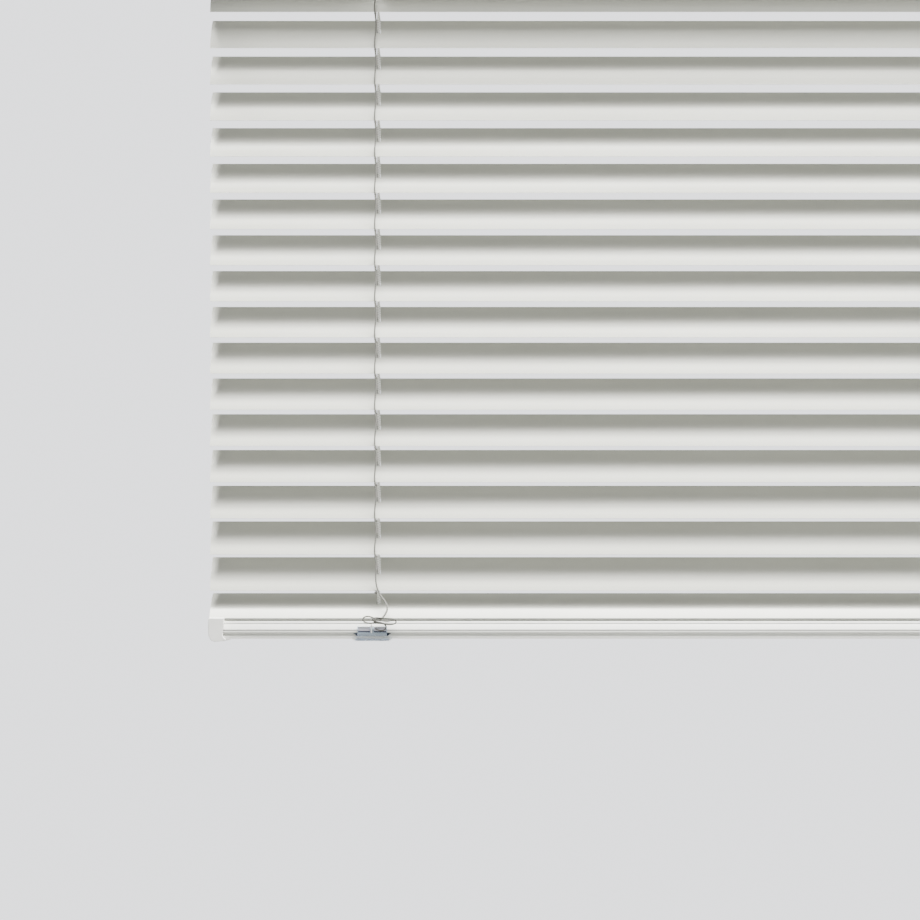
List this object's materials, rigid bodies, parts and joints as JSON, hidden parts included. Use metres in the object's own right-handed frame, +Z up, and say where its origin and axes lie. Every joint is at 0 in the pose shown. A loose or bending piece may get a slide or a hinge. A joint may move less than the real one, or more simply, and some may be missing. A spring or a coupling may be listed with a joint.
{
  "type": "cordless venetian blind",
  "caption": "A narrow-slat aluminium venetian blind: a steel headrail with spring lift and wand tilt, curved slats on string ladders, and a capped bottom rail with clear clips.",
  "frame": {"origin": "centre of the four ceiling fixing holes, on the top faces of the two box brackets", "axes": "+X runs along the headrail to the wand's end, -Y faces the room, +Z points up to the ceiling of the window reveal"},
  "size_m": [0.6, 0.0473, 0.4258],
  "materials": {
    "slat_enamel": "satin stove enamel, warm off-white",
    "rail_enamel": "satin stove enamel, warm off-white",
    "bracket_enamel": "white powder coat",
    "end_cap": "moulded plastic, off-white",
    "clear_clip": "clear moulded plastic with a blue tint",
    "clear_wand": "clear moulded plastic",
    "nylon": "natural nylon",
    "steel": "bright drawn steel",
    "spring_steel": "rolled spring steel",
    "ladder_braid": "braided polyester, pale grey",
    "lift_braid": "braided polyester, off-white"
  },
  "bodies": {
    "headrail_body": {"headrail": "rail_enamel", "headrail_caps": "end_cap", "mounting_bracket_left": "bracket_enamel", "mounting_bracket_right": "bracket_enamel", "drum_cradles": "nylon", "tilter_housing": "nylon", "motor_housing": "nylon", "power_spring": "spring_steel", "lift_cord_top": "lift_braid"},
    "gate_left_body": {"bracket_gate_left": "bracket_enamel"},
    "gate_right_body": {"bracket_gate_right": "bracket_enamel"},
    "rod_body": {"tilt_rod": "steel", "tilt_rockers": "nylon", "tilt_gear": "nylon"},
    "worm_body": {"tilter_worm": "nylon"},
    "socket_body": {"wand_socket": "nylon"},
    "wand_body": {"tilt_wand": "clear_wand"},
    "spool_left_body": {"cord_spool_left": "nylon"},
    "spool_right_body": {"cord_spool_right": "nylon"},
    "ladder_front_body": {"ladder_front_strings": "ladder_braid"},
    "ladder_back_body": {"ladder_back_strings": "ladder_braid"},
    "rail_body": {"bottom_rail": "rail_enamel", "bottom_rail_caps": "end_cap", "ladder_clips": "clear_clip", "ladder_bow": "ladder_braid", "lift_cord_bottom": "lift_braid"},
    "slat_01_body": {"slat_01": "slat_enamel"},
    "bay_02_body": {"lift_cord_bay_02": "lift_braid"},
    "slat_02_body": {"slat_02": "slat_enamel"},
    "bay_03_body": {"lift_cord_bay_03": "lift_braid"},
    "slat_03_body": {"slat_03": "slat_enamel"},
    "bay_04_body": {"lift_cord_bay_04": "lift_braid"},
    "slat_04_body": {"slat_04": "slat_enamel"},
    "bay_05_body": {"lift_cord_bay_05": "lift_braid"},
    "slat_05_body": {"slat_05": "slat_enamel"},
    "bay_06_body": {"lift_cord_bay_06": "lift_braid"},
    "slat_06_body": {"slat_06": "slat_enamel"},
    "bay_07_body": {"lift_cord_bay_07": "lift_braid"},
    "slat_07_body": {"slat_07": "slat_enamel"},
    "bay_08_body": {"lift_cord_bay_08": "lift_braid"},
    "slat_08_body": {"slat_08": "slat_enamel"},
    "bay_09_body": {"lift_cord_bay_09": "lift_braid"},
    "slat_09_body": {"slat_09": "slat_enamel"},
    "bay_10_body": {"lift_cord_bay_10": "lift_braid"},
    "slat_10_body": {"slat_10": "slat_enamel"},
    "bay_11_body": {"lift_cord_bay_11": "lift_braid"},
    "slat_11_body": {"slat_11": "slat_enamel"},
    "bay_12_body": {"lift_cord_bay_12": "lift_braid"},
    "slat_12_body": {"slat_12": "slat_enamel"},
    "bay_13_body": {"lift_cord_bay_13": "lift_braid"},
    "slat_13_body": {"slat_13": "slat_enamel"},
    "bay_14_body": {"lift_cord_bay_14": "lift_braid"},
    "slat_14_body": {"slat_14": "slat_enamel"},
    "bay_15_body": {"lift_cord_bay_15": "lift_braid"},
    "slat_15_body": {"slat_15": "slat_enamel"},
    "bay_16_body": {"lift_cord_bay_16": "lift_braid"},
    "slat_16_body": {"slat_16": "slat_enamel"},
    "bay_17_body": {"lift_cord_bay_17": "lift_braid"},
    "slat_17_body": {"slat_17": "slat_enamel"},
    "slat_18_body": {"slat_18": "slat_enamel"}
  },
  "joints": [
    {"name": "gate_left_swing", "type": "hinge", "parent": "headrail_body", "child": "gate_left_body", "pos_m": [-0.287, -0.021, -0.0012], "axis": [-1, 0, 0], "range_deg": [0, 95]},
    {"name": "gate_right_swing", "type": "hinge", "parent": "headrail_body", "child": "gate_right_body", "pos_m": [0.287, -0.021, -0.0012], "axis": [-1, 0, 0], "range_deg": [0, 95]},
    {"name": "tilt", "type": "hinge", "parent": "headrail_body", "child": "rod_body", "pos_m": [0, 0, -0.01319], "axis": [-1, 0, 0], "range_deg": [0, 108]},
    {"name": "ladder_front_hang", "type": "hinge", "parent": "rod_body", "child": "ladder_front_body", "pos_m": [0, -0.00602, -0.02538], "axis": [-1, 0, 0], "range_deg": [-108, 0]},
    {"name": "ladder_back_hang", "type": "hinge", "parent": "rod_body", "child": "ladder_back_body", "pos_m": [0, 0.00974, -0.0037], "axis": [-1, 0, 0], "range_deg": [-108, 0]},
    {"name": "worm_spin", "type": "hinge", "parent": "headrail_body", "child": "worm_body", "pos_m": [0.25, -0.00909, -0.00794], "axis": [0, -0.5, -0.866], "range_deg": [0, 2160]},
    {"name": "wand_swing", "type": "hinge", "parent": "headrail_body", "child": "socket_body", "pos_m": [0.25, -0.02219, -0.03063], "axis": [-1, 0, 0], "range_deg": [0, 60]},
    {"name": "wand_spin", "type": "hinge", "parent": "socket_body", "child": "wand_body", "pos_m": [0.25, -0.02219, -0.04063], "axis": [0, 0, -1], "range_deg": [0, 2160]},
    {"name": "lift", "type": "slide", "parent": "headrail_body", "child": "rail_body", "axis": [0, 0, 1], "range_m": [0, 0.315], "deforming": ["lift_cord_bottom", "ladder_front_strings", "ladder_back_strings"]},
    {"name": "spool_left_spin", "type": "hinge", "parent": "headrail_body", "child": "spool_left_body", "pos_m": [-0.014, 0, -0.02588], "axis": [0, 0, 1], "range_deg": [0, 1804.83]},
    {"name": "spool_right_spin", "type": "hinge", "parent": "headrail_body", "child": "spool_right_body", "pos_m": [0.014, 0, -0.02588], "axis": [0, 0, 1], "range_deg": [-1804.83, 0]},
    {"name": "slat_01_tilt", "type": "hinge", "parent": "headrail_body", "child": "slat_01_body", "pos_m": [0, 0, -0.03968], "axis": [-1, 0, 0], "range_deg": [0, 108]},
    {"name": "slat_02_lift", "type": "slide", "parent": "headrail_body", "child": "bay_02_body", "axis": [0, 0, 1], "range_m": [0, 0.019], "deforming": ["lift_cord_bay_02"]},
    {"name": "slat_02_tilt", "type": "hinge", "parent": "bay_02_body", "child": "slat_02_body", "pos_m": [0, 0, -0.06118], "axis": [-1, 0, 0], "range_deg": [0, 108]},
    {"name": "slat_03_lift", "type": "slide", "parent": "headrail_body", "child": "bay_03_body", "axis": [0, 0, 1], "range_m": [0, 0.038], "deforming": ["lift_cord_bay_03"]},
    {"name": "slat_03_tilt", "type": "hinge", "parent": "bay_03_body", "child": "slat_03_body", "pos_m": [0, 0, -0.08268], "axis": [-1, 0, 0], "range_deg": [0, 108]},
    {"name": "slat_04_lift", "type": "slide", "parent": "headrail_body", "child": "bay_04_body", "axis": [0, 0, 1], "range_m": [0, 0.057], "deforming": ["lift_cord_bay_04"]},
    {"name": "slat_04_tilt", "type": "hinge", "parent": "bay_04_body", "child": "slat_04_body", "pos_m": [0, 0, -0.10418], "axis": [-1, 0, 0], "range_deg": [0, 108]},
    {"name": "slat_05_lift", "type": "slide", "parent": "headrail_body", "child": "bay_05_body", "axis": [0, 0, 1], "range_m": [0, 0.076], "deforming": ["lift_cord_bay_05"]},
    {"name": "slat_05_tilt", "type": "hinge", "parent": "bay_05_body", "child": "slat_05_body", "pos_m": [0, 0, -0.12568], "axis": [-1, 0, 0], "range_deg": [0, 108]},
    {"name": "slat_06_lift", "type": "slide", "parent": "headrail_body", "child": "bay_06_body", "axis": [0, 0, 1], "range_m": [0, 0.095], "deforming": ["lift_cord_bay_06"]},
    {"name": "slat_06_tilt", "type": "hinge", "parent": "bay_06_body", "child": "slat_06_body", "pos_m": [0, 0, -0.14718], "axis": [-1, 0, 0], "range_deg": [0, 108]},
    {"name": "slat_07_lift", "type": "slide", "parent": "headrail_body", "child": "bay_07_body", "axis": [0, 0, 1], "range_m": [0, 0.114], "deforming": ["lift_cord_bay_07"]},
    {"name": "slat_07_tilt", "type": "hinge", "parent": "bay_07_body", "child": "slat_07_body", "pos_m": [0, 0, -0.16868], "axis": [-1, 0, 0], "range_deg": [0, 108]},
    {"name": "slat_08_lift", "type": "slide", "parent": "headrail_body", "child": "bay_08_body", "axis": [0, 0, 1], "range_m": [0, 0.133], "deforming": ["lift_cord_bay_08"]},
    {"name": "slat_08_tilt", "type": "hinge", "parent": "bay_08_body", "child": "slat_08_body", "pos_m": [0, 0, -0.19018], "axis": [-1, 0, 0], "range_deg": [0, 108]},
    {"name": "slat_09_lift", "type": "slide", "parent": "headrail_body", "child": "bay_09_body", "axis": [0, 0, 1], "range_m": [0, 0.152], "deforming": ["lift_cord_bay_09"]},
    {"name": "slat_09_tilt", "type": "hinge", "parent": "bay_09_body", "child": "slat_09_body", "pos_m": [0, 0, -0.21168], "axis": [-1, 0, 0], "range_deg": [0, 108]},
    {"name": "slat_10_lift", "type": "slide", "parent": "headrail_body", "child": "bay_10_body", "axis": [0, 0, 1], "range_m": [0, 0.171], "deforming": ["lift_cord_bay_10"]},
    {"name": "slat_10_tilt", "type": "hinge", "parent": "bay_10_body", "child": "slat_10_body", "pos_m": [0, 0, -0.23318], "axis": [-1, 0, 0], "range_deg": [0, 108]},
    {"name": "slat_11_lift", "type": "slide", "parent": "headrail_body", "child": "bay_11_body", "axis": [0, 0, 1], "range_m": [0, 0.19], "deforming": ["lift_cord_bay_11"]},
    {"name": "slat_11_tilt", "type": "hinge", "parent": "bay_11_body", "child": "slat_11_body", "pos_m": [0, 0, -0.25468], "axis": [-1, 0, 0], "range_deg": [0, 108]},
    {"name": "slat_12_lift", "type": "slide", "parent": "headrail_body", "child": "bay_12_body", "axis": [0, 0, 1], "range_m": [0, 0.209], "deforming": ["lift_cord_bay_12"]},
    {"name": "slat_12_tilt", "type": "hinge", "parent": "bay_12_body", "child": "slat_12_body", "pos_m": [0, 0, -0.27618], "axis": [-1, 0, 0], "range_deg": [0, 108]},
    {"name": "slat_13_lift", "type": "slide", "parent": "headrail_body", "child": "bay_13_body", "axis": [0, 0, 1], "range_m": [0, 0.228], "deforming": ["lift_cord_bay_13"]},
    {"name": "slat_13_tilt", "type": "hinge", "parent": "bay_13_body", "child": "slat_13_body", "pos_m": [0, 0, -0.29768], "axis": [-1, 0, 0], "range_deg": [0, 108]},
    {"name": "slat_14_lift", "type": "slide", "parent": "headrail_body", "child": "bay_14_body", "axis": [0, 0, 1], "range_m": [0, 0.247], "deforming": ["lift_cord_bay_14"]},
    {"name": "slat_14_tilt", "type": "hinge", "parent": "bay_14_body", "child": "slat_14_body", "pos_m": [0, 0, -0.31918], "axis": [-1, 0, 0], "range_deg": [0, 108]},
    {"name": "slat_15_lift", "type": "slide", "parent": "headrail_body", "child": "bay_15_body", "axis": [0, 0, 1], "range_m": [0, 0.266], "deforming": ["lift_cord_bay_15"]},
    {"name": "slat_15_tilt", "type": "hinge", "parent": "bay_15_body", "child": "slat_15_body", "pos_m": [0, 0, -0.34068], "axis": [-1, 0, 0], "range_deg": [0, 108]},
    {"name": "slat_16_lift", "type": "slide", "parent": "headrail_body", "child": "bay_16_body", "axis": [0, 0, 1], "range_m": [0, 0.285], "deforming": ["lift_cord_bay_16"]},
    {"name": "slat_16_tilt", "type": "hinge", "parent": "bay_16_body", "child": "slat_16_body", "pos_m": [0, 0, -0.36218], "axis": [-1, 0, 0], "range_deg": [0, 108]},
    {"name": "slat_17_lift", "type": "slide", "parent": "headrail_body", "child": "bay_17_body", "axis": [0, 0, 1], "range_m": [0, 0.304], "deforming": ["lift_cord_bay_17"]},
    {"name": "slat_17_tilt", "type": "hinge", "parent": "bay_17_body", "child": "slat_17_body", "pos_m": [0, 0, -0.38368], "axis": [-1, 0, 0], "range_deg": [0, 108]},
    {"name": "slat_18_tilt", "type": "hinge", "parent": "rail_body", "child": "slat_18_body", "pos_m": [0, 0, -0.40213], "axis": [-1, 0, 0], "range_deg": [0, 73]}
  ],
  "couplings": [
    {"joint": "ladder_front_hang", "follows": "tilt", "ratio": -1},
    {"joint": "ladder_back_hang", "follows": "tilt", "ratio": -1},
    {"joint": "worm_spin", "follows": "tilt", "ratio": 20},
    {"joint": "wand_spin", "follows": "tilt", "ratio": 20},
    {"joint": "spool_left_spin", "follows": "lift", "rad_per_m": 100},
    {"joint": "spool_right_spin", "follows": "lift", "rad_per_m": -100},
    {"joint": "slat_01_tilt", "follows": "tilt", "ratio": 1},
    {"joint": "slat_02_lift", "follows": "lift", "ratio": 0.060317},
    {"joint": "slat_02_tilt", "follows": "tilt", "ratio": 1},
    {"joint": "slat_03_lift", "follows": "lift", "ratio": 0.12064},
    {"joint": "slat_03_tilt", "follows": "tilt", "ratio": 1},
    {"joint": "slat_04_lift", "follows": "lift", "ratio": 0.18095},
    {"joint": "slat_04_tilt", "follows": "tilt", "ratio": 1},
    {"joint": "slat_05_lift", "follows": "lift", "ratio": 0.24127},
    {"joint": "slat_05_tilt", "follows": "tilt", "ratio": 1},
    {"joint": "slat_06_lift", "follows": "lift", "ratio": 0.30159},
    {"joint": "slat_06_tilt", "follows": "tilt", "ratio": 1},
    {"joint": "slat_07_lift", "follows": "lift", "ratio": 0.3619},
    {"joint": "slat_07_tilt", "follows": "tilt", "ratio": 1},
    {"joint": "slat_08_lift", "follows": "lift", "ratio": 0.42222},
    {"joint": "slat_08_tilt", "follows": "tilt", "ratio": 1},
    {"joint": "slat_09_lift", "follows": "lift", "ratio": 0.48254},
    {"joint": "slat_09_tilt", "follows": "tilt", "ratio": 1},
    {"joint": "slat_10_lift", "follows": "lift", "ratio": 0.54286},
    {"joint": "slat_10_tilt", "follows": "tilt", "ratio": 1},
    {"joint": "slat_11_lift", "follows": "lift", "ratio": 0.60318},
    {"joint": "slat_11_tilt", "follows": "tilt", "ratio": 1},
    {"joint": "slat_12_lift", "follows": "lift", "ratio": 0.66349},
    {"joint": "slat_12_tilt", "follows": "tilt", "ratio": 1},
    {"joint": "slat_13_lift", "follows": "lift", "ratio": 0.72381},
    {"joint": "slat_13_tilt", "follows": "tilt", "ratio": 1},
    {"joint": "slat_14_lift", "follows": "lift", "ratio": 0.78413},
    {"joint": "slat_14_tilt", "follows": "tilt", "ratio": 1},
    {"joint": "slat_15_lift", "follows": "lift", "ratio": 0.84444},
    {"joint": "slat_15_tilt", "follows": "tilt", "ratio": 1},
    {"joint": "slat_16_lift", "follows": "lift", "ratio": 0.90476},
    {"joint": "slat_16_tilt", "follows": "tilt", "ratio": 1},
    {"joint": "slat_17_lift", "follows": "lift", "ratio": 0.96508},
    {"joint": "slat_17_tilt", "follows": "tilt", "ratio": 1},
    {"joint": "slat_18_tilt", "follows": "tilt", "ratio": 0.67593}
  ]
}
